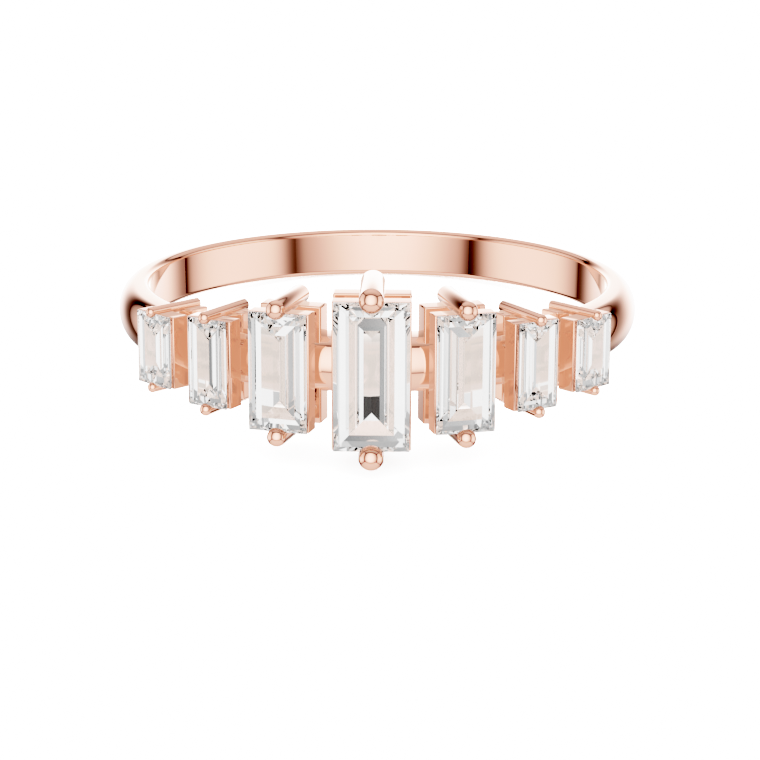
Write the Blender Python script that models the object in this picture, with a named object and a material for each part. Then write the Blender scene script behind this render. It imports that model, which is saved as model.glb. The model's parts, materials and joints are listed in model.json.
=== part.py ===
"""Bar band ring: a rose-gold band with seven graduated baguette stones side by side.

Metres, +Z up. The ring lies on its side on z = 0, as it comes to rest by itself: on
the back of its band and on the lower prong of its centre setting. The stones are
towards -Y, and the origin is under the middle of the ring's box.
"""

import math
from collections import namedtuple

import bmesh
import bpy

MM = 0.001

# Band: flat inside with rounded edges, domed outside. Its flat sides and its dome grow
# towards the head.
FINGER_DIAMETER = 16.92 * MM
BAND_WIDTH = 1.86 * MM
BAND_SIDE_BACK = 0.04 * MM
BAND_SIDE_HEAD = 0.85 * MM
BAND_DOME_BACK = 0.56 * MM
BAND_DOME_HEAD = 0.70 * MM
BAND_INNER_ROUND = 0.20 * MM
BAND_TAPER_POWER = 2
BAND_SECTIONS = 96
BAND_ROUND_STEPS = 3
BAND_DOME_STEPS = 10

# Straight step-cut stones, from the head to the sides. Each but the centre one is made
# twice, left and right.
CENTRE_LENGTH = 5.00 * MM
CENTRE_WIDTH = 2.50 * MM
INNER_LENGTH = 4.00 * MM
INNER_WIDTH = 2.00 * MM
MIDDLE_LENGTH = 3.00 * MM
MIDDLE_WIDTH = 1.50 * MM
OUTER_LENGTH = 2.50 * MM
OUTER_WIDTH = 1.65 * MM

# Diameters of the prongs.
CENTRE_PRONG = 0.85 * MM
INNER_PRONG = 0.67 * MM
MIDDLE_PRONG = 0.43 * MM
OUTER_PRONG = 0.36 * MM

# Height of the centre stone's girdle over the band, the most that a rail stands out
# beside its stone, and the widest gap between two rails at their feet.
GIRDLE_RISE = 0.98 * MM
RAIL_RIM = 0.12 * MM
RAIL_SPACING = 0.67 * MM

# Settings, from the head to the sides. Shares: rise of GIRDLE_RISE, rim of RAIL_RIM, base
# is the base rail's width over the rail's, lap is how much of the prong is over the stone,
# tip is the height of the prong's round centre over the girdle in prong diameters, and
# gap is the rail's distance from the last one, of RAIL_SPACING.
Setting = namedtuple("Setting", "place length width prong rise rim base lap tip gap")
SETTINGS = (
    Setting(
        "centre", CENTRE_LENGTH, CENTRE_WIDTH, CENTRE_PRONG,
        rise=1.00, rim=0.42, base=1.00, lap=0.33, tip=0.40, gap=0.00,
    ),
    Setting(
        "inner", INNER_LENGTH, INNER_WIDTH, INNER_PRONG,
        rise=0.95, rim=0.50, base=1.00, lap=0.27, tip=0.18, gap=0.86,
    ),
    Setting(
        "middle", MIDDLE_LENGTH, MIDDLE_WIDTH, MIDDLE_PRONG,
        rise=0.89, rim=1.00, base=0.64, lap=0.33, tip=0.28, gap=0.87,
    ),
    Setting(
        "outer", OUTER_LENGTH, OUTER_WIDTH, OUTER_PRONG,
        rise=0.78, rim=1.00, base=0.48, lap=0.31, tip=0.28, gap=1.00,
    ),
)

# Two rails hold each stone, as long as the stone: one under its girdle, and a base rail
# in the band.
RAIL_DROP = 0.08 * MM
RAIL_DEPTH = 0.64 * MM
RAIL_GAP = 0.56 * MM
BASE_RAIL_DEPTH = 0.77 * MM
RAIL_WALL = 0.32 * MM
RAIL_EDGE = 0.035 * MM

# Prongs: round rods that end a little outside the finger hole.
PRONG_LIFT = 0.28 * MM
PRONG_EDGE = 0.04 * MM
PRONG_SIDES = 16
PRONG_DOME_STEPS = 4

# Step-cut stones. Insets are shares of half the stone's width, angles are from the
# girdle.
GIRDLE = 0.06 * MM
CROWN_INSET = 0.19
CROWN_ANGLE = 38
PavilionStep = namedtuple("PavilionStep", "inset angle")
PAVILION_STEPS = (
    PavilionStep(0.37, 43),
    PavilionStep(0.68, 35),
    PavilionStep(1.00, 27),
)

# Room between a stone and its seat.
STONE_CLEARANCE = 0.03 * MM

WELD = 0.0001 * MM
SMOOTH_ANGLE = 40

# The search for the angle at which the ring comes to rest.
STEEPEST_TILT = 45
TILT_TRIALS = 40

ROSE_GOLD = (0.86, 0.56, 0.43, 1.0)
DIAMOND = (1.0, 1.0, 1.0, 1.0)
DIAMOND_IOR = 2.417

FINGER_RADIUS = FINGER_DIAMETER / 2


def clear_scene():
    for thing in list(bpy.data.objects):
        bpy.data.objects.remove(thing, do_unlink=True)


def principled(name, colour, metallic, roughness, transmission=0.0, ior=1.5):
    """A plain material with the finish's colour, metallic value and roughness."""
    material = bpy.data.materials.new(name)
    material.use_nodes = True
    shader = material.node_tree.nodes["Principled BSDF"]
    shader.inputs["Base Color"].default_value = colour
    shader.inputs["Metallic"].default_value = metallic
    shader.inputs["Roughness"].default_value = roughness
    shader.inputs["Transmission Weight"].default_value = transmission
    shader.inputs["IOR"].default_value = ior
    return material


def add_object(name, bm, parent, material, collection):
    """Turns a bmesh into an object, with its faces pointing out."""
    bmesh.ops.recalc_face_normals(bm, faces=bm.faces)
    mesh = bpy.data.meshes.new(name)
    bm.to_mesh(mesh)
    bm.free()
    mesh.materials.append(material)
    thing = bpy.data.objects.new(name, mesh)
    thing.parent = parent
    collection.objects.link(thing)
    return thing


def add_empty(name, parent=None):
    empty = bpy.data.objects.new(name, None)
    empty.parent = parent
    bpy.context.scene.collection.objects.link(empty)
    return empty


def add_guides(name):
    """A collection for shapes that only join or cut the metal."""
    guides = bpy.data.collections.new(name)
    bpy.context.scene.collection.children.link(guides)
    return guides


def loft(loops, ends):
    """Bridges loops of equally many points. Its ends are joined, capped or pointed."""
    bm = bmesh.new()
    rings = [[bm.verts.new(point) for point in loop] for loop in loops]
    pairs = list(zip(rings, rings[1:]))
    if ends == "joined":
        pairs.append((rings[-1], rings[0]))
    count = len(rings[0])
    for ring, after in pairs:
        for i in range(count):
            j = (i + 1) % count
            bm.faces.new((ring[i], ring[j], after[j], after[i]))
    if ends == "capped":
        bm.faces.new(rings[0])
        bm.faces.new(rings[-1])
    bmesh.ops.remove_doubles(bm, verts=bm.verts, dist=WELD)
    return bm


def rectangle(half_width, half_length, height):
    """Four corners in a setting's own frame: width on x, length on y, outward on z."""
    return [
        (-half_width, -half_length, height),
        (half_width, -half_length, height),
        (half_width, half_length, height),
        (-half_width, half_length, height),
    ]


def band_heights(angle):
    """Heights of the band's flat side and of its dome at an angle from the head."""
    share = ((1 + math.cos(angle)) / 2) ** BAND_TAPER_POWER
    side = BAND_SIDE_BACK + (BAND_SIDE_HEAD - BAND_SIDE_BACK) * share
    dome = BAND_DOME_BACK + (BAND_DOME_HEAD - BAND_DOME_BACK) * share
    return side, dome


def band_crest(angle):
    """Radius of the band's outside at an angle from the head."""
    side, dome = band_heights(angle)
    return FINGER_RADIUS + BAND_INNER_ROUND + side + dome


def band_section(side, dome):
    """The band's outline as (height over the finger hole, place along the width)."""
    half = BAND_WIDTH / 2
    upper = []
    for i in range(BAND_ROUND_STEPS + 1):
        turn = math.pi / 2 * i / BAND_ROUND_STEPS
        height = BAND_INNER_ROUND * (1 - math.cos(turn))
        upper.append((height, half - BAND_INNER_ROUND * (1 - math.sin(turn))))
    outside = []
    for i in range(BAND_DOME_STEPS + 1):
        turn = math.pi * (0.5 - i / BAND_DOME_STEPS)
        height = BAND_INNER_ROUND + side + dome * math.cos(turn)
        outside.append((height, half * math.sin(turn)))
    lower = [(height, -place) for height, place in reversed(upper)]
    return upper + outside + lower


def make_band():
    """The plain band round the z axis, with its head towards -Y."""
    loops = []
    for i in range(BAND_SECTIONS):
        angle = 2 * math.pi * (i + 0.5) / BAND_SECTIONS
        loop = []
        for height, place in band_section(*band_heights(angle)):
            radius = FINGER_RADIUS + height
            loop.append((radius * math.sin(angle), -radius * math.cos(angle), place))
        loops.append(loop)
    return loft(loops, "joined")


def rail_half_width(setting):
    return setting.width / 2 + setting.rim * RAIL_RIM


def make_rail(half_width, half_length, top, depth):
    """An open rectangular frame with eased outer edges."""
    inner_width = half_width - RAIL_WALL
    inner_length = half_length - RAIL_WALL
    bottom = top - depth
    loops = [
        rectangle(half_width, half_length, bottom),
        rectangle(half_width, half_length, top),
        rectangle(inner_width, inner_length, top),
        rectangle(inner_width, inner_length, bottom),
    ]
    bm = loft(loops, "joined")
    wide = half_width - RAIL_WALL / 2
    eased = [edge for edge in bm.edges if all(abs(v.co.x) > wide for v in edge.verts)]
    long = half_length - RAIL_WALL / 2
    eased += [edge for edge in bm.edges if all(abs(v.co.y) > long for v in edge.verts)]
    eased = list(set(eased))
    bmesh.ops.bevel(bm, geom=eased, offset=RAIL_EDGE, segments=1, affect="EDGES")
    return bm


def make_prong(setting, girdle, side):
    """A round rod with a domed tip, at the stone's end on the given side."""
    radius = setting.prong / 2
    centre = side * (setting.length / 2 - setting.lap * setting.prong + radius)
    foot = FINGER_RADIUS + PRONG_LIFT
    tip_centre = girdle + setting.tip * setting.prong
    profile = [(0.0, foot), (radius - PRONG_EDGE, foot), (radius, foot + PRONG_EDGE)]
    for i in range(PRONG_DOME_STEPS + 1):
        turn = math.pi / 2 * i / PRONG_DOME_STEPS
        profile.append((radius * math.cos(turn), tip_centre + radius * math.sin(turn)))
    loops = []
    for out, height in profile:
        loop = []
        for i in range(PRONG_SIDES):
            turn = 2 * math.pi * (i + 0.5) / PRONG_SIDES
            loop.append((out * math.cos(turn), centre + out * math.sin(turn), height))
        loops.append(loop)
    return loft(loops, "pointed")


def make_stone(setting, girdle, room=0.0):
    """A step-cut stone, or its seat's cutter where room is left round it."""
    half_width = setting.width / 2
    half_length = setting.length / 2
    crown_inset = CROWN_INSET * half_width
    crown_height = crown_inset * math.tan(math.radians(CROWN_ANGLE))
    top = GIRDLE / 2 + room
    levels = [(crown_inset, top + crown_height), (0.0, top), (0.0, -top)]
    inset = 0.0
    height = -top
    for step in PAVILION_STEPS:
        run = step.inset * half_width - inset
        inset += run
        height -= run * math.tan(math.radians(step.angle))
        levels.append((inset, height))
    loops = []
    for inset, height in levels:
        width = half_width - inset + room
        length = half_length - inset + room
        loops.append(rectangle(width, length, girdle + height))
    bm = loft(loops, "capped")
    bmesh.ops.dissolve_degenerate(bm, dist=WELD, edges=bm.edges)
    return bm


def setting_heights(setting, angle):
    """Radii of a setting's girdle, of its rail's top and of its base rail's top."""
    girdle = band_crest(angle) + setting.rise * GIRDLE_RISE
    rail_top = girdle - RAIL_DROP
    return girdle, rail_top, rail_top - RAIL_DEPTH - RAIL_GAP


def setting_places():
    """Each setting with its name ending and its angle from the head, centre first."""
    places = []
    angle = 0.0
    half_before = 0.0
    for setting in SETTINGS:
        half = rail_half_width(setting)
        if places:
            foot = setting_heights(setting, angle)[1] - RAIL_DEPTH
            spread = half_before + setting.gap * RAIL_SPACING
            angle += math.asin(spread / math.hypot(foot, half)) + math.atan2(half, foot)
            places.append((setting, "left_" + setting.place, -angle))
            places.append((setting, "right_" + setting.place, angle))
        else:
            places.append((setting, setting.place, angle))
        half_before = half
    return places


def add_setting(setting, ending, angle, ring, metal, diamond, joined, cut):
    """Adds one stone, and the rails, prongs and seat that shape the metal under it."""
    seat = add_empty("seat_" + ending, ring)
    seat.rotation_euler = (math.pi / 2, 0, angle)
    girdle, rail_top, base_top = setting_heights(setting, angle)
    half_width = rail_half_width(setting)
    half_base = half_width * setting.base
    half_length = setting.length / 2
    shapes = [
        ("rail", make_rail(half_width, half_length, rail_top, RAIL_DEPTH)),
        ("base_rail", make_rail(half_base, half_length, base_top, BASE_RAIL_DEPTH)),
        ("upper_prong", make_prong(setting, girdle, 1)),
        ("lower_prong", make_prong(setting, girdle, -1)),
    ]
    for kind, bm in shapes:
        add_object(f"{kind}_{ending}", bm, seat, metal, joined)
    cutter = make_stone(setting, girdle, STONE_CLEARANCE)
    add_object("cutter_" + ending, cutter, seat, metal, cut)
    scene = bpy.context.scene.collection
    add_object("stone_" + ending, make_stone(setting, girdle), seat, diamond, scene)


def shape_metal(band, joined, cut):
    """Solders the settings to the band and cuts the stones' seats."""
    for guides, operation in ((joined, "UNION"), (cut, "DIFFERENCE")):
        for guide in guides.objects:
            guide.hide_render = True
            guide.display_type = "WIRE"
        modifier = band.modifiers.new(guides.name, "BOOLEAN")
        modifier.operand_type = "COLLECTION"
        modifier.collection = guides
        modifier.operation = operation
        modifier.solver = "EXACT"
    band.data.shade_smooth()
    band.data.set_sharp_from_angle(angle=math.radians(SMOOTH_ANGLE))


def solid_points(things):
    """World points of the evaluated solids."""
    graph = bpy.context.evaluated_depsgraph_get()
    points = []
    for thing in things:
        evaluated = thing.evaluated_get(graph)
        mesh = evaluated.to_mesh()
        points += [evaluated.matrix_world @ vert.co for vert in mesh.vertices]
        evaluated.to_mesh_clear()
    return points


def resting_tilt(points):
    """Angle at which the head's lowest point and the back's lowest point are level."""
    head = [point for point in points if point.y < 0]
    back = [point for point in points if point.y > 0]

    def lowest(side, tilt):
        return min(point.z * math.cos(tilt) - point.y * math.sin(tilt) for point in side)

    low, high = 0.0, math.radians(STEEPEST_TILT)
    for _ in range(TILT_TRIALS):
        tilt = (low + high) / 2
        if lowest(head, tilt) < lowest(back, tilt):
            low = tilt
        else:
            high = tilt
    return tilt


def lay_down(ring, solids):
    """Tilts the ring to its resting pose and sets its box over the origin."""
    ring.rotation_euler.x = -resting_tilt(solid_points(solids))
    bpy.context.view_layer.update()
    points = solid_points(solids)
    for axis in (0, 1):
        places = [point[axis] for point in points]
        ring.location[axis] = -(min(places) + max(places)) / 2
    ring.location.z = -min(point.z for point in points)


def main():
    clear_scene()
    scene = bpy.context.scene.collection
    metal = principled("rose_gold", ROSE_GOLD, 1.0, 0.08)
    diamond = principled("diamond", DIAMOND, 0.0, 0.0, transmission=1.0, ior=DIAMOND_IOR)
    ring = add_empty("ring_axis")
    band = add_object("ring_metal", make_band(), ring, metal, scene)
    joined = add_guides("settings")
    cut = add_guides("seats")
    for setting, ending, angle in setting_places():
        add_setting(setting, ending, angle, ring, metal, diamond, joined, cut)
    shape_metal(band, joined, cut)
    bpy.context.view_layer.update()
    stones = [thing for thing in scene.objects if thing.name.startswith("stone_")]
    lay_down(ring, [band] + stones)


main()
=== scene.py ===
"""Bar band ring: a polished rose-gold band with seven graduated baguette stones.

Each piece is made in the ring's own frame: its axis is z and its head is towards -y.
The flat place on the finger wall, at the back of the band, says where that frame is.
"""

import json
import math
from collections import namedtuple

import bmesh
import bpy
from bpy.props import (
    FloatProperty,
    FloatVectorProperty,
    IntProperty,
    PointerProperty,
)
from mathutils import Matrix, Vector


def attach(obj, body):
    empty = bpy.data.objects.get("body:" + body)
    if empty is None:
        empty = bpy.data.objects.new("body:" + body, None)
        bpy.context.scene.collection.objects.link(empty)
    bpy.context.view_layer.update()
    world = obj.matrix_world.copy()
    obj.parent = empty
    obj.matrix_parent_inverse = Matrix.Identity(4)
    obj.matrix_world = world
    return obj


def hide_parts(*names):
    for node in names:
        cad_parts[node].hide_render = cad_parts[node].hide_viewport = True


bl_info = {
    "name": "Bar Band Ring",
    "version": (1, 0, 0),
    "blender": (4, 5, 0),
    "location": "3D View > Sidebar > Ring",
    "description": "A rose-gold ring with seven straight baguette stones, in a soft studio",
    "category": "Object",
}

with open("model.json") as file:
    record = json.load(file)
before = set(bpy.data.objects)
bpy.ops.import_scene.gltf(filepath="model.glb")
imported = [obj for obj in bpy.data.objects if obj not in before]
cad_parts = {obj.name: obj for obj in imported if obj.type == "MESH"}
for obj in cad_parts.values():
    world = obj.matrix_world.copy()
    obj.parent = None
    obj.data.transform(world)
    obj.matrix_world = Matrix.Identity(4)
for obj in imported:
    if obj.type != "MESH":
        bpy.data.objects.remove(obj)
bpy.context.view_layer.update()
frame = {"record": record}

MM = 0.001
WELD = 1e-7
# Smallest angle of an edge that stays sharp, in degrees.
SHARP = 32
# 1/e, the base of every bell-shaped fall of light.
BELL_BASE = 0.3679
# Spread of the polish's roughness, and the darkest shade of the stone and the floor.
LINE_SPREAD = 0.4
CLOUD_SHADE = 0.985
FLOOR_SHADE = 0.99

PLACES = ("centre", "inner", "middle", "outer")
WALL = frame["record"]["mounts"][0]


def length(name, description, default):
    return FloatProperty(
        name=name, description=description, default=default * MM, min=0.0,
        precision=5, unit="LENGTH",
    )


def lengths(name, description, default):
    return FloatVectorProperty(
        name=name, description=description + ", from the centre setting to the outer",
        default=[value * MM for value in default], size=len(PLACES), min=0.0,
        precision=5, unit="LENGTH",
    )


def angle(name, description, default):
    return FloatProperty(
        name=name, description=description, default=math.radians(default), unit="ROTATION"
    )


def share(name, description, default, top=1.0):
    return FloatProperty(
        name=name, description=description, default=default, min=0.0, max=top
    )


def colour(name, description, default):
    return FloatVectorProperty(
        name=name, description=description, default=default, size=3, min=0.0, max=1.0,
        subtype="COLOR",
    )


class RING_PG_band(bpy.types.PropertyGroup):
    """Sizes of the plain band."""

    finger_diameter: length("Finger hole", "Diameter of the finger hole", 16.92)
    width: length("Width", "Width of the band along the ring's axis", 1.854)
    inner_round: length("Inner round", "Radius of the edges inside the band", 0.20)
    side_back: length("Side at back", "Height of the flat side at the back", 0.04)
    side_head: length("Side at head", "Height of the flat side at the head", 0.85)
    dome_back: length("Dome at back", "Height of the outer dome at the back", 0.55)
    dome_head: length("Dome at head", "Height of the outer dome at the head", 0.695)
    wall_turn: angle(
        "Wall turn", "Half the turn of the flat place on the finger wall", 1.875
    )


class RING_PG_settings(bpy.types.PropertyGroup):
    """Sizes of the seven settings."""

    angles: FloatVectorProperty(
        name="Angles",
        description="Angle of each setting from the head, from the centre to the outer",
        default=[math.radians(value) for value in (0.0, 16.1285, 30.0679, 44.1023)],
        size=len(PLACES),
        unit="ROTATION",
    )
    girdles: lengths(
        "Girdles", "Distance of the girdle from the ring's axis",
        (11.190, 11.104, 10.9587, 10.7255),
    )
    rails: lengths("Rails", "Half the width of the rail", (1.3004, 1.06, 0.87, 0.945))
    bases: lengths(
        "Base rails", "Half the width of the base rail", (1.3004, 1.06, 0.5568, 0.4536)
    )
    rail_drop: length("Rail drop", "Drop from the girdle to the rail's top", 0.08)
    rail_depth: length("Rail depth", "Depth of the rail", 0.64)
    rail_gap: length("Rail gap", "Gap between the rail and the base rail", 0.56)
    base_depth: length("Base depth", "Depth of the base rail", 0.77)
    rail_wall: length("Rail wall", "Thickness of the rails", 0.32)
    rail_round: length("Rail round", "Round of the rail's outer edges", 0.04)
    base_round: length("Base round", "Round of the base rail's outer edges", 0.06)


class RING_PG_prongs(bpy.types.PropertyGroup):
    """Sizes of the fourteen prongs."""

    diameters: lengths("Diameters", "Diameter of the prong", (0.825, 0.653, 0.42, 0.351))
    laps: lengths(
        "Laps", "How far the prong reaches over the stone", (0.275, 0.177, 0.14, 0.109)
    )
    rises: lengths(
        "Rises", "Height of the round tip's centre over the girdle",
        (0.335, 0.117, 0.12, 0.1),
    )
    foot: length("Foot", "Height of the foot over the finger hole", 0.285)
    foot_round: length("Foot round", "Round of the foot's edge", 0.04)
    sides: IntProperty(name="Sides", description="Sides of a prong", default=64, min=16)


class RING_PG_stones(bpy.types.PropertyGroup):
    """Sizes and cut of the seven stones."""

    lengths: lengths("Lengths", "Length of the stone", (5.0, 4.0, 3.0, 2.5))
    widths: lengths("Widths", "Width of the stone", (2.5, 2.0, 1.5, 1.65))
    girdle: length("Girdle", "Thickness of the girdle", 0.06)
    crown_inset: share("Crown inset", "Crown's run over half the width", 0.17)
    crown_angle: angle("Crown angle", "Slope of the crown", 39.7)
    step_insets: FloatVectorProperty(
        name="Step insets",
        description="Where each step of the pavilion ends, over half the width",
        default=(0.409, 0.789, 1.0),
        size=3,
        min=0.0,
        max=1.0,
    )
    step_angles: FloatVectorProperty(
        name="Step angles",
        description="Slope of each step of the pavilion, from the girdle down",
        default=[math.radians(value) for value in (47.4, 28.1, 17.3)],
        size=3,
        unit="ROTATION",
    )
    seat_room: length("Seat room", "Room between the stone and its seat", 0.005)


class RING_PG_finish(bpy.types.PropertyGroup):
    """Colours and polish."""

    gold: colour("Rose gold", "Colour of the polished metal", (0.86, 0.565, 0.48))
    gold_deep: colour(
        "Deep rose gold", "Colour of the metal where its alloy is redder",
        (0.855, 0.55, 0.462),
    )
    gold_roughness: share("Gold roughness", "Roughness of the polished metal", 0.035)
    # Painted glow: metal seen in a reflection is darkened and gives this colour as emitted light
    # in place of what it would reflect.
    painted_deep_glow: FloatVectorProperty(
        name="Deep light",
        description="Light that metal gives in the second reflection and beyond",
        default=(1.0, 0.93, 0.88),
        size=3,
        min=0.0,
        max=1.0,
        subtype="COLOR",
    )
    painted_glow_strength: share("Deep strength", "Strength of that light", 2.7, 20.0)
    # Painted glow: settings seen farther off than this in a reflection show a plain emitted colour
    # in place of what they would reflect.
    far_length: length(
        "Far length", "How far off the settings show as plain light in a reflection", 8.0
    )
    painted_far_glow: FloatVectorProperty(
        name="Far light",
        description="That plain light, over the deep strength",
        default=(1.8, 1.8, 1.8),
        size=3,
        min=0.0,
        max=4.0,
    )
    seen_through: share(
        "Seen through", "How much of its own reflections metal keeps behind a stone", 0.25
    )
    diamond: colour("Diamond", "Colour of the clear stone", (1.0, 1.0, 1.0))
    diamond_glint: colour("Diamond glint", "Tint of the stone's own reflections", (0.25,) * 3)
    diamond_ior: share("Diamond IOR", "Refractive index of the stone", 2.417, 4.0)


class RING_PG_studio(bpy.types.PropertyGroup):
    """The floor, the soft panels round the ring and the camera."""

    floor_size: length("Floor size", "Length of the floor's sides", 400.0)
    floor_colour: colour("Floor", "Colour of the pale floor", (0.94, 0.94, 0.94))
    sky: share("Open light", "Strength of the white light all round", 16.0, 50.0)
    lantern: share("Lantern", "Strength of the light seen through the stones", 3.6, 50.0)
    lantern_above: share("Lantern above", "Its share above the cards", 0.42, 2.0)
    lantern_below: share("Lantern below", "Its share below the cards", 0.3, 2.0)
    lantern_radius: length("Lantern radius", "Radius of the ball of that light", 300.0)
    room_low: FloatVectorProperty(
        name="Room low corner",
        description="Lowest corner of the room of soft panels, from the ring's middle",
        default=(-85.4 * MM, -68.8 * MM, -62.0 * MM),
        size=3,
        unit="LENGTH",
    )
    room_high: FloatVectorProperty(
        name="Room high corner",
        description="Highest corner of the room of soft panels, from the ring's middle",
        default=(94.1 * MM, 74.0 * MM, 72.2 * MM),
        size=3,
        unit="LENGTH",
    )
    room_turn: FloatVectorProperty(
        name="Room turn",
        description="Turn of the room of soft panels about the ring's own axes",
        default=[math.radians(value) for value in (-17.2, 3.0, -2.3)],
        size=3,
        unit="ROTATION",
    )
    lens: FloatProperty(
        name="Lens", description="Focal length of the camera in millimetres",
        default=106.04, min=1.0,
    )


class RING_PG_ring(bpy.types.PropertyGroup):
    """All sizes and colours of the ring and its studio."""

    band: PointerProperty(type=RING_PG_band)
    settings: PointerProperty(type=RING_PG_settings)
    prongs: PointerProperty(type=RING_PG_prongs)
    stones: PointerProperty(type=RING_PG_stones)
    finish: PointerProperty(type=RING_PG_finish)
    studio: PointerProperty(type=RING_PG_studio)


def ring_frame(band):
    """The ring's own frame, from the flat place on its finger wall."""
    inward = Vector(WALL["axis"]).normalized()
    side = Vector((1.0, 0.0, 0.0))
    back = -inward
    turned = Matrix((side, back, side.cross(back))).transposed().to_4x4()
    distance = band.finger_diameter / 2 * math.cos(band.wall_turn)
    return Matrix.Translation(Vector(WALL["pos_m"]) + inward * distance) @ turned


Seat = namedtuple("Seat", "index ending matrix")


def seats(ring):
    """Every setting's row, name ending and frame: width x, length y and outward z."""
    home = ring_frame(ring.band)
    upright = Matrix.Rotation(math.pi / 2, 4, "X")
    for index, place in enumerate(PLACES):
        turn = ring.settings.angles[index]
        hands = (("left_", -turn), ("right_", turn)) if index else (("", turn),)
        for hand, turned in hands:
            matrix = home @ Matrix.Rotation(turned, 4, "Z") @ upright
            yield Seat(index, hand + place, matrix)


def new_object(name, bm, matrix, material=None):
    """Turns a bmesh into an object whose mesh is in world coordinates."""
    bmesh.ops.recalc_face_normals(bm, faces=bm.faces)
    mesh = bpy.data.meshes.new(name)
    bm.to_mesh(mesh)
    bm.free()
    mesh.transform(matrix)
    if material:
        mesh.materials.append(material)
    thing = bpy.data.objects.new(name, mesh)
    bpy.context.scene.collection.objects.link(thing)
    return thing


def loft(loops, joined=False):
    """Bridges loops of equally many points, joined end to end or capped."""
    bm = bmesh.new()
    rings = [[bm.verts.new(point) for point in loop] for loop in loops]
    pairs = list(zip(rings, rings[1:]))
    if joined:
        pairs.append((rings[-1], rings[0]))
    count = len(rings[0])
    for ring, after in pairs:
        for i in range(count):
            j = (i + 1) % count
            bm.faces.new((ring[i], ring[j], after[j], after[i]))
    if not joined:
        bm.faces.new(rings[0])
        bm.faces.new(rings[-1])
    bmesh.ops.remove_doubles(bm, verts=bm.verts, dist=WELD)
    return bm


def rectangle(half_width, half_length, height):
    return [
        (-half_width, -half_length, height),
        (half_width, -half_length, height),
        (half_width, half_length, height),
        (-half_width, half_length, height),
    ]


def crisp(thing, degrees):
    """Smooth shading that keeps the edges between flat faces."""
    thing.data.shade_smooth()
    thing.data.set_sharp_from_angle(angle=math.radians(degrees))
    modifier = thing.modifiers.new("flat_faces", "WEIGHTED_NORMAL")
    modifier.mode = "FACE_AREA"
    modifier.keep_sharp = True
    modifier.weight = 100


def cut_seat(thing, stone):
    """Cuts a stone's seat out of a piece."""
    modifier = thing.modifiers.new("seat", "BOOLEAN")
    modifier.object = stone
    modifier.operation = "DIFFERENCE"
    modifier.solver = "EXACT"
    graph = bpy.context.evaluated_depsgraph_get()
    cut = bpy.data.meshes.new_from_object(thing.evaluated_get(graph))
    thing.modifiers.remove(modifier)
    whole = thing.data
    name = whole.name
    thing.data = cut
    bpy.data.meshes.remove(whole)
    cut.name = name


def band_section(band, turn, round_steps=8, dome_steps=32):
    """The band's outline at an angle: height over the finger hole, and place across."""
    towards_head = ((1 + math.cos(turn)) / 2) ** 2
    side = band.side_back + (band.side_head - band.side_back) * towards_head
    dome = band.dome_back + (band.dome_head - band.dome_back) * towards_head
    half = band.width / 2
    upper = [(0.0, 0.96 * (half - band.inner_round))]
    for i in range(round_steps + 1):
        bend = math.pi / 2 * i / round_steps
        height = band.inner_round * (1 - math.cos(bend))
        upper.append((height, half - band.inner_round * (1 - math.sin(bend))))
    outside = []
    for i in range(dome_steps + 1):
        bend = math.pi * (0.5 - i / dome_steps)
        height = band.inner_round + side + dome * math.cos(bend)
        outside.append((height, half * math.sin(bend)))
    lower = [(height, -place) for height, place in reversed(upper)]
    return upper + outside + lower


def build_band(ring, material, sections=360):
    band = ring.band
    loops = []
    for i in range(sections):
        turn = 2 * math.pi * i / sections
        loop = []
        for height, place in band_section(band, turn):
            radius = band.finger_diameter / 2 + height
            loop.append((radius * math.sin(turn), -radius * math.cos(turn), place))
        loops.append(loop)
    thing = new_object("band", loft(loops, joined=True), ring_frame(band), material)
    crisp(thing, SHARP)
    return thing


def build_rail(name, half_width, half_length, top, depth, wall, edge, matrix, material):
    """An open rectangular frame with rounded outer edges."""
    loops = [
        rectangle(half_width, half_length, top - depth),
        rectangle(half_width, half_length, top),
        rectangle(half_width - wall, half_length - wall, top),
        rectangle(half_width - wall, half_length - wall, top - depth),
    ]
    bm = loft(loops, joined=True)
    wide = half_width - wall / 2
    long = half_length - wall / 2
    outer = [
        item
        for item in bm.edges
        if all(abs(vert.co.x) > wide for vert in item.verts)
        or all(abs(vert.co.y) > long for vert in item.verts)
    ]
    bmesh.ops.bevel(
        bm, geom=outer, offset=edge, segments=3, profile=0.5, affect="EDGES"
    )
    return new_object(name, bm, matrix, material)


def build_prong(ring, seat, side, name, material, dome_steps=16, foot_steps=4):
    """A round rod with a domed tip, at one end of the stone."""
    prongs = ring.prongs
    radius = prongs.diameters[seat.index] / 2
    centre = side * (ring.stones.lengths[seat.index] / 2 - prongs.laps[seat.index] + radius)
    tip = ring.settings.girdles[seat.index] + prongs.rises[seat.index]
    foot = ring.band.finger_diameter / 2 + prongs.foot
    profile = []
    for i in range(foot_steps + 1):
        bend = math.pi / 2 * i / foot_steps
        out = radius - prongs.foot_round * (1 - math.sin(bend))
        profile.append((out, foot + prongs.foot_round * (1 - math.cos(bend))))
    for i in range(dome_steps + 1):
        bend = math.pi / 2 * i / dome_steps
        profile.append((radius * math.cos(bend), tip + radius * math.sin(bend)))
    loops = []
    for out, height in profile:
        loop = []
        for i in range(prongs.sides):
            turn = 2 * math.pi * i / prongs.sides
            loop.append((out * math.cos(turn), centre + out * math.sin(turn), height))
        loops.append(loop)
    return new_object(name, loft(loops), seat.matrix, material)


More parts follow.
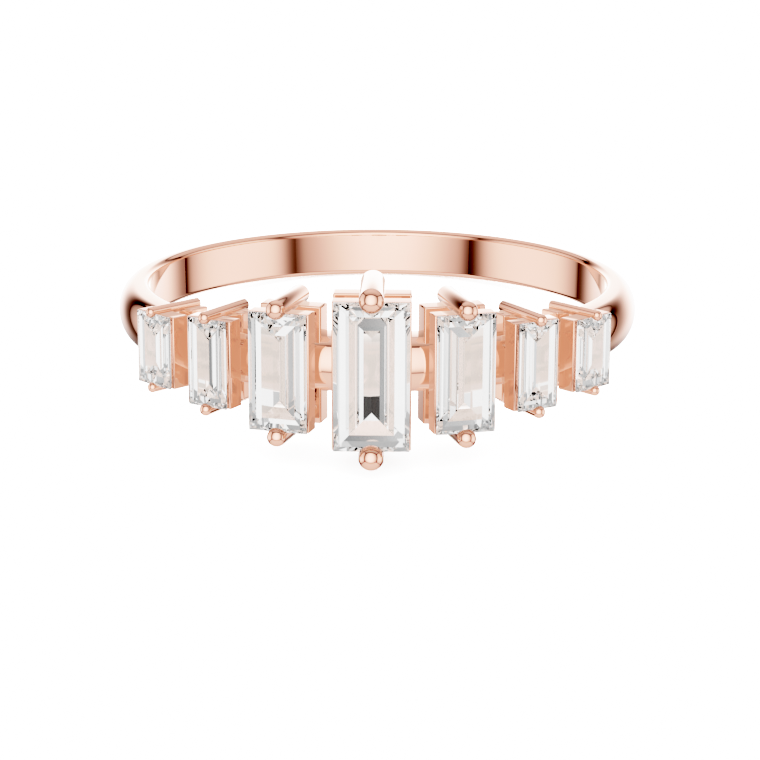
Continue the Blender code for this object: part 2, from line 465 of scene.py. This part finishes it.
def build_stone(ring, seat, name, room=0.0):
    """A step-cut stone, or its seat's cutter where room is left round it."""
    stones = ring.stones
    half_width = stones.widths[seat.index] / 2
    half_length = stones.lengths[seat.index] / 2
    girdle = ring.settings.girdles[seat.index]
    crown = stones.crown_inset * half_width
    top = stones.girdle / 2 + room
    levels = [(crown, top + crown * math.tan(stones.crown_angle)), (0.0, top), (0.0, -top)]
    inset = 0.0
    height = -top
    for inset_share, slope in zip(stones.step_insets, stones.step_angles):
        run = inset_share * half_width - inset
        inset += run
        height -= run * math.tan(slope)
        levels.append((inset, height))
    loops = []
    for inset, height in levels:
        width = half_width - inset + room
        long = half_length - inset + room
        loops.append(rectangle(width, long, girdle + height))
    bm = loft(loops)
    bmesh.ops.dissolve_degenerate(bm, dist=WELD, edges=bm.edges)
    return new_object(name, bm, seat.matrix)


def node(tree, kind, links=None, **values):
    """Adds a shader node, sets its values by name, and links its inputs."""
    made = tree.nodes.new(kind)
    for key, value in values.items():
        setattr(made, key, value)
    for socket, source in (links or {}).items():
        if isinstance(source, bpy.types.NodeSocket):
            tree.links.new(source, made.inputs[socket])
        else:
            made.inputs[socket].default_value = source
    return made


def maths(tree, operation, *values, use_clamp=False):
    """The output of a Math node."""
    made = node(
        tree, "ShaderNodeMath", dict(enumerate(values)),
        operation=operation, use_clamp=use_clamp,
    )
    return made.outputs[0]


def dip(tree, off, depth):
    """One, less a bell-shaped dip of some negative depth, at a squared distance."""
    return maths(tree, "MULTIPLY_ADD", maths(tree, "POWER", BELL_BASE, off), depth, 1.0)


def group(name, inputs, outputs):
    """Starts a shader node group with named float inputs and typed outputs."""
    tree = bpy.data.node_groups.new(name, "ShaderNodeTree")
    for label, default in inputs:
        kind = "NodeSocketVector" if default is None else "NodeSocketFloat"
        socket = tree.interface.new_socket(name=label, in_out="INPUT", socket_type=kind)
        if default is not None:
            socket.default_value = default
    for label, kind in outputs:
        tree.interface.new_socket(name=label, in_out="OUTPUT", socket_type=kind)
    return tree, tree.nodes.new("NodeGroupInput"), tree.nodes.new("NodeGroupOutput")


def fine_polish():
    """Faint buffing lines, soft waves and slow colour drift of hand-polished metal."""
    if "fine_polish" in bpy.data.node_groups:
        return bpy.data.node_groups["fine_polish"]
    tree, entry, out = group(
        "fine_polish",
        [("Place", None), ("Line Scale", 6000.0), ("Wave Scale", 350.0)],
        [("Lines", "NodeSocketFloat"), ("Waves", "NodeSocketFloat"), ("Drift", "NodeSocketFloat")],
    )
    lines = node(
        tree, "ShaderNodeTexNoise",
        {"Vector": entry.outputs["Place"], "Scale": entry.outputs["Line Scale"], "Detail": 2.0},
    )
    waves = node(
        tree, "ShaderNodeTexNoise",
        {"Vector": entry.outputs["Place"], "Scale": entry.outputs["Wave Scale"], "Detail": 1.0},
    )
    slow = node(
        tree, "ShaderNodeTexNoise",
        {"Vector": entry.outputs["Place"], "Scale": 120.0, "Detail": 2.0},
    )
    tree.links.new(lines.outputs["Fac"], out.inputs["Lines"])
    tree.links.new(waves.outputs["Fac"], out.inputs["Waves"])
    tree.links.new(slow.outputs["Fac"], out.inputs["Drift"])
    return tree


def new_material(name):
    material = bpy.data.materials.new(name)
    material.use_nodes = True
    tree = material.node_tree
    return material, tree, tree.nodes["Principled BSDF"]


def gold_material(name, finish, line_scale, wave_scale, bump, soften, far=False):
    """Polished rose gold with its own buffing lines, and a painted glow where it is seen in a
    reflection: there its colour fades to black and emitted light stands in for what it would
    reflect.
    """
    if name in bpy.data.materials:
        return bpy.data.materials[name]
    material, tree, shader = new_material(name)
    place = node(tree, "ShaderNodeTexCoord")
    polish = node(tree, "ShaderNodeGroup", node_tree=fine_polish())
    tree.links.new(place.outputs["Object"], polish.inputs["Place"])
    polish.inputs["Line Scale"].default_value = line_scale
    polish.inputs["Wave Scale"].default_value = wave_scale
    tint = node(
        tree, "ShaderNodeMix", {"Factor": polish.outputs["Drift"]}, data_type="RGBA"
    )
    tint.inputs["A"].default_value = (*finish.gold, 1.0)
    tint.inputs["B"].default_value = (*finish.gold_deep, 1.0)
    # Painted reflection: the deeper the ray, the more the colour fades to black and the painted
    # glow takes its place; behind a stone less so.
    path = node(tree, "ShaderNodeLightPath")
    behind_stone = path.outputs["Is Transmission Ray"]
    plain = maths(tree, "MULTIPLY_ADD", behind_stone, -finish.seen_through, 1.0)
    turns = maths(tree, "MULTIPLY", path.outputs["Ray Depth"], soften, use_clamp=True)
    painted_share = maths(tree, "MULTIPLY", turns, plain)
    faded_base = node(tree, "ShaderNodeMix", {"Factor": painted_share}, data_type="RGBA")
    tree.links.new(tint.outputs["Result"], faded_base.inputs["A"])
    faded_base.inputs["B"].default_value = (0.0, 0.0, 0.0, 1.0)
    tree.links.new(faded_base.outputs["Result"], shader.inputs["Base Color"])
    painted_glow = node(tree, "ShaderNodeMix", {"Factor": painted_share}, data_type="RGBA")
    painted_glow.inputs["A"].default_value = (0.0, 0.0, 0.0, 1.0)
    painted_glow.inputs["B"].default_value = (*finish.painted_deep_glow, 1.0)
    # Painted reflection: settings seen far off in a reflection show only the plain painted far
    # glow.
    if far:
        away = maths(tree, "GREATER_THAN", path.outputs["Ray Length"], finish.far_length)
        second = maths(tree, "MULTIPLY", path.outputs["Ray Depth"], away, use_clamp=True)
        tree.links.new(maths(tree, "MAXIMUM", second, painted_share), faded_base.inputs["Factor"])
        painted_far_mix = node(tree, "ShaderNodeMix", {"Factor": second}, data_type="RGBA")
        tree.links.new(painted_glow.outputs["Result"], painted_far_mix.inputs["A"])
        painted_far_mix.inputs["B"].default_value = (*finish.painted_far_glow, 1.0)
        painted_glow = painted_far_mix
    # The painted glow is emitted light, in place of the metal's own reflection.
    tree.links.new(painted_glow.outputs["Result"], shader.inputs["Emission Color"])
    shader.inputs["Emission Strength"].default_value = finish.painted_glow_strength
    material.cycles.emission_sampling = "NONE"
    rough = node(
        tree, "ShaderNodeMapRange",
        {
            "Value": polish.outputs["Lines"],
            "To Min": finish.gold_roughness * (1.0 - LINE_SPREAD),
            "To Max": finish.gold_roughness * (1.0 + LINE_SPREAD),
        },
    )
    tree.links.new(rough.outputs["Result"], shader.inputs["Roughness"])
    shader.inputs["Metallic"].default_value = 1.0
    dent = node(
        tree, "ShaderNodeBump",
        {"Height": polish.outputs["Waves"], "Strength": 1.0, "Distance": bump * MM},
    )
    tree.links.new(dent.outputs["Normal"], shader.inputs["Normal"])
    return material


def diamond_material(finish):
    """Clear stone with a faint trace of clouds in its colour."""
    if "clear_diamond" in bpy.data.materials:
        return bpy.data.materials["clear_diamond"]
    material, tree, shader = new_material("clear_diamond")
    place = node(tree, "ShaderNodeTexCoord")
    cloud = node(
        tree, "ShaderNodeTexNoise",
        {"Vector": place.outputs["Object"], "Scale": 900.0, "Detail": 2.0},
    )
    tint = node(tree, "ShaderNodeMix", {"Factor": cloud.outputs["Fac"]}, data_type="RGBA")
    tint.inputs["A"].default_value = (*finish.diamond, 1.0)
    tint.inputs["B"].default_value = (*[value * CLOUD_SHADE for value in finish.diamond], 1.0)
    tree.links.new(tint.outputs["Result"], shader.inputs["Base Color"])
    shader.inputs["Roughness"].default_value = 0.0
    shader.inputs["IOR"].default_value = finish.diamond_ior
    shader.inputs["Specular Tint"].default_value = (*finish.diamond_glint, 1.0)
    shader.inputs["Transmission Weight"].default_value = 1.0
    return material


def soft_panel():
    """Light of one panel: even, and falling off in soft steps at its four edges."""
    if "soft_panel" in bpy.data.node_groups:
        return bpy.data.node_groups["soft_panel"]
    edges = ("Left", "Right", "Bottom", "Top")
    inputs = []
    for edge in edges:
        inputs.append((edge + " Distance", 1.0))
        for part in ("Seam", "Shade"):
            inputs += [(f"{edge} {part} Width", 0.01), (f"{edge} {part} Depth", 1.0)]
    inputs += [(f"Arch {part}", 0.0) for part in ("Across", "Along", "Width", "Depth")]
    tree, entry, out = group("soft_panel", inputs, [("Light", "NodeSocketFloat")])
    falls = []
    for edge in edges:
        for part in ("Seam", "Shade"):
            ratio = maths(
                tree, "DIVIDE",
                entry.outputs[edge + " Distance"], entry.outputs[f"{edge} {part} Width"],
            )
            square = maths(tree, "MULTIPLY", ratio, ratio)
            falls.append(dip(tree, square, entry.outputs[f"{edge} {part} Depth"]))
    across, along = [
        maths(tree, "MULTIPLY", entry.outputs["Arch " + part], entry.outputs["Arch " + part])
        for part in ("Across", "Along")
    ]
    reach = maths(tree, "SQRT", maths(tree, "ADD", across, along))
    off = maths(tree, "SUBTRACT", reach, 1.0)
    ratio = maths(tree, "DIVIDE", off, entry.outputs["Arch Width"])
    square = maths(tree, "MULTIPLY", ratio, ratio)
    falls.append(dip(tree, square, entry.outputs["Arch Depth"]))
    light = falls[0]
    for fall in falls[1:]:
        light = maths(tree, "MULTIPLY", light, fall)
    tree.links.new(light, out.inputs["Light"])
    return tree


# A panel's place, strength, and for its left, right, bottom and top edges: the width in
# millimetres of the dark seam, the share of light lost in it, and the same for the wider
# shade beside it. The arch is a dark line on the far panel: half width, height, middle
# across and along in millimetres, width over its size, and the share of light lost.
Panel = namedtuple("Panel", "name axis end level edges arch")
NO_ARCH = (100, 100, 0, 0, 0.1, 0)
PANELS = (
    Panel(
        "left_panel", 0, 0, 5.8,
        ((21, 0.75, 37, 0.05), (5.5, 0.7, 29, 0.54), (4, 0.5, 20, 0.62), (7, 0.75, 110, 0.47)),
        NO_ARCH,
    ),
    Panel(
        "right_panel", 0, 1, 5.7,
        ((18, 0.68, 20, 0.17), (8.1, 0.75, 30, 0.54), (4, 0.5, 29, 0.48), (7, 0.75, 103, 0.38)),
        NO_ARCH,
    ),
    Panel(
        "front_panel", 1, 0, 8.43,
        ((11.2, 0.5, 69, 0.61), (10.6, 0.45, 86, 0.68), (4.3, 0.5, 22, 0.37), (7, 0.85, 48, 0.24)),
        NO_ARCH,
    ),
    Panel(
        "far_panel", 1, 1, 8.75,
        ((36, 0.83, 44, 0.42), (40, 0.56, 61, 0.58), (9.6, 0.61, 64, 0.11), (26, 0.55, 29, 0.42)),
        (60.3, 43.1, -1.4, -51.2, 0.38, 0.83),
    ),
    Panel(
        "low_panel", 2, 0, 3.57,
        ((4, 0.5, 27, 0.06), (4.2, 0.5, 20, 0.05), (4, 0.5, 20, 0.05), (4, 0.7, 62, 0.3)),
        NO_ARCH,
    ),
    Panel(
        "high_panel", 2, 1, 4.58,
        ((6.5, 0.75, 53, 0.34), (6.5, 0.75, 110, 0.33), (7, 0.85, 43, 0.44), (6, 0.7, 103, 0.22)),
        NO_ARCH,
    ),
)


def panel_material(panel, low, high):
    """A soft panel whose light is read from the distances to the room's other walls."""
    material, tree, shader = new_material(panel.name)
    shader.inputs["Base Color"].default_value = (0.0, 0.0, 0.0, 1.0)
    shader.inputs["Roughness"].default_value = 1.0
    shader.inputs["Specular IOR Level"].default_value = 0.0
    shader.inputs["Emission Strength"].default_value = panel.level
    place = node(tree, "ShaderNodeTexCoord")
    split = node(tree, "ShaderNodeSeparateXYZ", {"Vector": place.outputs["Object"]})
    across, along = [axis for axis in range(3) if axis != panel.axis]
    soft = node(tree, "ShaderNodeGroup", node_tree=soft_panel())
    sides = (
        ("Left", across, low, 1.0), ("Right", across, high, -1.0),
        ("Bottom", along, low, 1.0), ("Top", along, high, -1.0),
    )
    for (edge, axis, corner, sign), falls in zip(sides, panel.edges):
        distance = maths(
            tree, "MULTIPLY_ADD", split.outputs[axis], sign, -sign * corner[axis]
        )
        tree.links.new(distance, soft.inputs[edge + " Distance"])
        for part, width, depth in zip(("Seam", "Shade"), falls[::2], falls[1::2]):
            soft.inputs[f"{edge} {part} Width"].default_value = width * MM
            soft.inputs[f"{edge} {part} Depth"].default_value = -depth
    half, height, middle, base, width, depth = panel.arch
    arch = (("Across", across, half, middle), ("Along", along, height, base))
    for part, axis, size, start in arch:
        scaled = maths(
            tree, "MULTIPLY_ADD", split.outputs[axis], 1 / (size * MM), -start / size
        )
        tree.links.new(scaled, soft.inputs["Arch " + part])
    soft.inputs["Arch Width"].default_value = width
    soft.inputs["Arch Depth"].default_value = -depth
    tree.links.new(soft.outputs["Light"], shader.inputs["Emission Color"])
    material.cycles.emission_sampling = "NONE"
    return material


def build_room(ring):
    """Six soft panels round the ring, seen only in its reflections."""
    studio = ring.studio
    low, high = Vector(studio.room_low), Vector(studio.room_high)
    turn = Matrix.Rotation(studio.room_turn[2], 4, "Z")
    turn = turn @ Matrix.Rotation(studio.room_turn[0], 4, "X")
    turn = turn @ Matrix.Rotation(studio.room_turn[1], 4, "Y")
    for panel in PANELS:
        across, along = [axis for axis in range(3) if axis != panel.axis]
        bm = bmesh.new()
        corners = []
        for right, up in ((0, 0), (1, 0), (1, 1), (0, 1)):
            point = Vector((0.0, 0.0, 0.0))
            point[panel.axis] = (low, high)[panel.end][panel.axis]
            point[across] = (low, high)[right][across]
            point[along] = (low, high)[up][along]
            corners.append(bm.verts.new(point))
        bm.faces.new(corners)
        mesh = bpy.data.meshes.new(panel.name)
        bm.to_mesh(mesh)
        bm.free()
        mesh.materials.append(panel_material(panel, low, high))
        thing = bpy.data.objects.new(panel.name, mesh)
        thing.matrix_world = ring_frame(ring.band) @ turn
        thing.visible_camera = False
        thing.visible_diffuse = False
        thing.visible_shadow = False
        thing.visible_transmission = False
        bpy.context.scene.collection.objects.link(thing)


def card_shade():
    """Light kept beside one dark card that stands upright at some azimuth."""
    if "card_shade" in bpy.data.node_groups:
        return bpy.data.node_groups["card_shade"]
    tree, entry, out = group(
        "card_shade",
        [("Direction", None), ("Card", None), ("Sharpness", 1.0), ("Depth", 1.0)],
        [("Light", "NodeSocketFloat")],
    )
    towards = node(
        tree, "ShaderNodeVectorMath",
        {0: entry.outputs["Direction"], 1: entry.outputs["Card"]},
        operation="DOT_PRODUCT",
    )
    off = maths(tree, "SUBTRACT", 1.0, towards.outputs["Value"])
    off = maths(tree, "MULTIPLY", off, entry.outputs["Sharpness"])
    tree.links.new(dip(tree, off, entry.outputs["Depth"]), out.inputs["Light"])
    return tree


# Dark cards round the ring that only the stones show: azimuth from the front towards the
# right and half width, in degrees, and the share of light lost.
CARDS = (
    (-2, 3, 0.7), (10, 2, 0.6), (17, 3, 0.6), (32, 4, 0.5), (67, 6, 0.6), (90, 6, 0.5),
    (151, 7, 0.9), (-147, 6, 0.9), (-163, 5, 0.5), (-87, 8, 0.75), (-62, 5, 0.6),
    (-52, 4, 0.5), (-27, 3, 0.5),
)

# Elevations at which the belt of cards starts to fade and ends, in degrees.
BELT_TOP = (6, 30)
BELT_FOOT = (-22, -40)


def lantern_material(studio):
    """Light for the stones: a belt of dark cards, with dimmer light above and below."""
    material, tree, shader = new_material("lantern")
    shader.inputs["Base Color"].default_value = (0.0, 0.0, 0.0, 1.0)
    shader.inputs["Specular IOR Level"].default_value = 0.0
    shader.inputs["Emission Strength"].default_value = studio.lantern
    place = node(tree, "ShaderNodeTexCoord")
    flat = node(
        tree, "ShaderNodeVectorMath", {0: place.outputs["Object"], 1: (1.0, 1.0, 0.0)},
        operation="MULTIPLY",
    )
    direction = node(
        tree, "ShaderNodeVectorMath", {0: flat.outputs[0]}, operation="NORMALIZE"
    )
    light = 1.0
    for azimuth, width, depth in CARDS:
        turn = math.radians(azimuth)
        card = node(tree, "ShaderNodeGroup", node_tree=card_shade())
        tree.links.new(direction.outputs[0], card.inputs["Direction"])
        card.inputs["Card"].default_value = (math.sin(turn), -math.cos(turn), 0.0)
        card.inputs["Sharpness"].default_value = 2 / math.radians(width) ** 2
        card.inputs["Depth"].default_value = -depth
        light = maths(tree, "MULTIPLY", light, card.outputs["Light"])
    split = node(tree, "ShaderNodeSeparateXYZ", {"Vector": place.outputs["Object"]})
    radius = studio.lantern_radius
    ends = ((*BELT_TOP, studio.lantern_above), (*BELT_FOOT, studio.lantern_below))
    for start, end, level in ends:
        rise = node(
            tree, "ShaderNodeMapRange",
            {
                "Value": split.outputs["Z"],
                "From Min": radius * math.sin(math.radians(start)),
                "From Max": radius * math.sin(math.radians(end)),
            },
            interpolation_type="SMOOTHSTEP",
        )
        blend = node(
            tree, "ShaderNodeMix", {"Factor": rise.outputs["Result"], "A": light, "B": level}
        )
        light = blend.outputs["Result"]
    tree.links.new(light, shader.inputs["Emission Color"])
    material.cycles.emission_sampling = "NONE"
    return material


def build_lantern(ring):
    """A wide ball of light round everything, seen only through the stones."""
    studio = ring.studio
    bm = bmesh.new()
    bmesh.ops.create_icosphere(bm, subdivisions=5, radius=studio.lantern_radius)
    lantern = new_object("lantern", bm, Matrix.Identity(4), lantern_material(studio))
    lantern.matrix_world = ring_frame(ring.band)
    lantern.visible_camera = False
    lantern.visible_diffuse = False
    lantern.visible_glossy = False
    lantern.visible_shadow = False


def build_floor(ring):
    """A plain pale floor that shows only the ring's faint contact shadow."""
    studio = ring.studio
    half = studio.floor_size / 2
    bm = bmesh.new()
    bm.faces.new([bm.verts.new(point) for point in rectangle(half, half, 0.0)])
    material, tree, shader = new_material("pale_floor")
    place = node(tree, "ShaderNodeTexCoord")
    grain = node(
        tree, "ShaderNodeTexNoise",
        {"Vector": place.outputs["Object"], "Scale": 400.0, "Detail": 3.0},
    )
    tint = node(tree, "ShaderNodeMix", {"Factor": grain.outputs["Fac"]}, data_type="RGBA")
    tint.inputs["A"].default_value = (*studio.floor_colour, 1.0)
    tint.inputs["B"].default_value = (*[value * FLOOR_SHADE for value in studio.floor_colour], 1.0)
    tree.links.new(tint.outputs["Result"], shader.inputs["Base Color"])
    shader.inputs["Roughness"].default_value = 0.9
    shader.inputs["Specular IOR Level"].default_value = 0.0
    floor = new_object("floor", bm, Matrix.Identity(4), material)
    floor.visible_glossy = False
    floor.visible_transmission = False


def build_sky(ring):
    """Even white light from all round."""
    world = bpy.data.worlds.new("white_light")
    world.use_nodes = True
    background = world.node_tree.nodes["Background"]
    background.inputs["Color"].default_value = (1.0, 1.0, 1.0, 1.0)
    background.inputs["Strength"].default_value = ring.studio.sky
    world.cycles.sampling_method = "NONE"
    bpy.context.scene.world = world


# The picture's tone: light on the left, in the scene's own units, and what is shown.
TONE = (
    (0.0, 0.0), (0.436, 0.0), (0.511, 0.010), (0.587, 0.033), (0.69, 0.073),
    (0.834, 0.133), (1.0, 0.214), (1.2, 0.3185), (1.492, 0.448), (1.931, 0.604),
    (2.235, 0.694), (2.709, 0.787), (3.336, 0.871), (3.984, 0.933), (4.952, 0.965),
    (7.368, 1.0), (8.0, 1.0),
)
WHITE = TONE[-1][0]
BOUNCES = 24


def set_tone():
    """A clean, contrasty tone with white kept for the brightest panels."""
    view = bpy.context.scene.view_settings
    view.view_transform = "Standard"
    view.use_curve_mapping = True
    mapping = view.curve_mapping
    mapping.initialize()
    mapping.clip_max_x = 1.0
    mapping.white_level = (WHITE,) * 3
    mapping.extend = "HORIZONTAL"
    curve = mapping.curves[3]
    while len(curve.points) > 2:
        curve.points.remove(curve.points[1])
    curve.points[0].location = (0.0, 0.0)
    curve.points[-1].location = (1.0, 1.0)
    for light, shown in TONE[1:-1]:
        curve.points.new(light / WHITE, shown)
    for point in curve.points:
        point.handle_type = "VECTOR"
    mapping.update()


def let_light_through():
    """Lets light pass through a stone's many facets before it is lost."""
    cycles = bpy.context.scene.cycles
    cycles.max_bounces = BOUNCES
    cycles.glossy_bounces = BOUNCES
    cycles.transmission_bounces = BOUNCES


def camera_frame():
    """The camera's place and turn in the ring's frame."""
    distance, up, side = 83.531 * MM, 0.2289, 0.0171
    yaw, pitch, roll = 0.0012, 0.0359, -0.0032
    back = Vector(
        (math.cos(up) * math.sin(side), -math.cos(up) * math.cos(side), math.sin(up))
    )
    across = Vector((0.0, 0.0, 1.0)).cross(back).normalized()
    rows = Matrix((across, back.cross(across), back))
    turn = Matrix.Rotation(roll, 3, "Z")
    turn = turn @ Matrix.Rotation(pitch, 3, "X") @ Matrix.Rotation(yaw, 3, "Y")
    return Matrix.Translation(back * distance) @ (turn @ rows).transposed().to_4x4()


def build_camera(ring):
    data = bpy.data.cameras.new("camera")
    data.lens = ring.studio.lens
    data.sensor_width = 36.0
    data.clip_start = 1 * MM
    data.clip_end = 10.0
    camera = bpy.data.objects.new("camera", data)
    bpy.context.scene.collection.objects.link(camera)
    camera.matrix_world = ring_frame(ring.band) @ camera_frame()
    bpy.context.scene.camera = camera


def gold_piece(thing):
    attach(thing, "root")


class RING_OT_stage(bpy.types.Operator):
    """Make the floor, the soft light and the camera"""

    bl_idname = "ring.stage"
    bl_label = "Floor, Light and Camera"

    def execute(self, context):
        ring = context.scene.bar_ring
        build_floor(ring)
        build_room(ring)
        build_lantern(ring)
        build_sky(ring)
        set_tone()
        let_light_through()
        build_camera(ring)
        return {"FINISHED"}


class RING_OT_band(bpy.types.Operator):
    """Make the plain domed band"""

    bl_idname = "ring.band"
    bl_label = "Band"

    def execute(self, context):
        ring = context.scene.bar_ring
        gold = gold_material(
            "band_gold", ring.finish,
            line_scale=5000.0, wave_scale=300.0, bump=0.0006, soften=0.6,
        )
        band = build_band(ring, gold)
        gold_piece(band)
        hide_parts("ring_metal")
        return {"FINISHED"}


class RING_OT_rails(bpy.types.Operator):
    """Make the two rails under each stone, with its seat cut into the upper one"""

    bl_idname = "ring.rails"
    bl_label = "Rails"

    def execute(self, context):
        ring = context.scene.bar_ring
        sizes = ring.settings
        gold = gold_material(
            "rail_gold", ring.finish,
            line_scale=7000.0, wave_scale=500.0, bump=0.0004, soften=0.6, far=True,
        )
        for seat in seats(ring):
            half_length = ring.stones.lengths[seat.index] / 2
            top = sizes.girdles[seat.index] - sizes.rail_drop
            rail = build_rail(
                "rail_" + seat.ending, sizes.rails[seat.index], half_length, top,
                sizes.rail_depth, sizes.rail_wall, sizes.rail_round, seat.matrix, gold,
            )
            base = build_rail(
                "base_rail_" + seat.ending, sizes.bases[seat.index], half_length,
                top - sizes.rail_depth - sizes.rail_gap, sizes.base_depth,
                sizes.rail_wall, sizes.base_round, seat.matrix, gold,
            )
            cutter = build_stone(ring, seat, "seat_" + seat.ending, ring.stones.seat_room)
            cut_seat(rail, cutter)
            bpy.data.objects.remove(cutter, do_unlink=True)
            for piece in (rail, base):
                crisp(piece, SHARP)
                gold_piece(piece)
        return {"FINISHED"}


class RING_OT_prongs(bpy.types.Operator):
    """Make the two round prongs of each stone"""

    bl_idname = "ring.prongs"
    bl_label = "Prongs"

    def execute(self, context):
        ring = context.scene.bar_ring
        gold = gold_material(
            "prong_gold", ring.finish,
            line_scale=8000.0, wave_scale=700.0, bump=0.0004, soften=1.0, far=True,
        )
        for seat in seats(ring):
            cutter = build_stone(ring, seat, "seat_" + seat.ending, ring.stones.seat_room)
            for hand, side in (("upper", 1), ("lower", -1)):
                name = f"{hand}_prong_{seat.ending}"
                prong = build_prong(ring, seat, side, name, gold)
                cut_seat(prong, cutter)
                crisp(prong, SHARP)
                gold_piece(prong)
            bpy.data.objects.remove(cutter, do_unlink=True)
        return {"FINISHED"}


class RING_OT_stones(bpy.types.Operator):
    """Make the seven step-cut stones"""

    bl_idname = "ring.stones"
    bl_label = "Stones"

    def execute(self, context):
        ring = context.scene.bar_ring
        clear = diamond_material(ring.finish)
        for seat in seats(ring):
            stone = build_stone(ring, seat, "facets_" + seat.ending)
            stone.data.materials.append(clear)
            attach(stone, "root")
            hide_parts("stone_" + seat.ending)
        return {"FINISHED"}


class RING_PT_panel(bpy.types.Panel):
    """Lists the ring's pieces and its stage"""

    bl_idname = "RING_PT_panel"
    bl_label = "Bar Band Ring"
    bl_space_type = "VIEW_3D"
    bl_region_type = "UI"
    bl_category = "Ring"

    def draw(self, context):
        ring = context.scene.bar_ring
        for operator in OPERATORS:
            self.layout.operator(operator.bl_idname)
        for name in ("band", "settings", "prongs", "stones", "finish", "studio"):
            sizes = getattr(ring, name)
            box = self.layout.box()
            box.label(text=name.capitalize())
            for key in type(sizes).__annotations__:
                box.prop(sizes, key)


OPERATORS = (
    RING_OT_stage, RING_OT_band, RING_OT_rails, RING_OT_prongs, RING_OT_stones,
)
CLASSES = (
    RING_PG_band, RING_PG_settings, RING_PG_prongs, RING_PG_stones, RING_PG_finish,
    RING_PG_studio, RING_PG_ring, *OPERATORS, RING_PT_panel,
)


def register():
    for kind in CLASSES:
        bpy.utils.register_class(kind)
    bpy.types.Scene.bar_ring = PointerProperty(type=RING_PG_ring)


def unregister():
    del bpy.types.Scene.bar_ring
    for kind in reversed(CLASSES):
        bpy.utils.unregister_class(kind)


def main():
    register()
    bpy.ops.ring.stage()
    bpy.ops.ring.band()
    bpy.ops.ring.rails()
    bpy.ops.ring.prongs()
    bpy.ops.ring.stones()


if __name__ == "__main__":
    main()
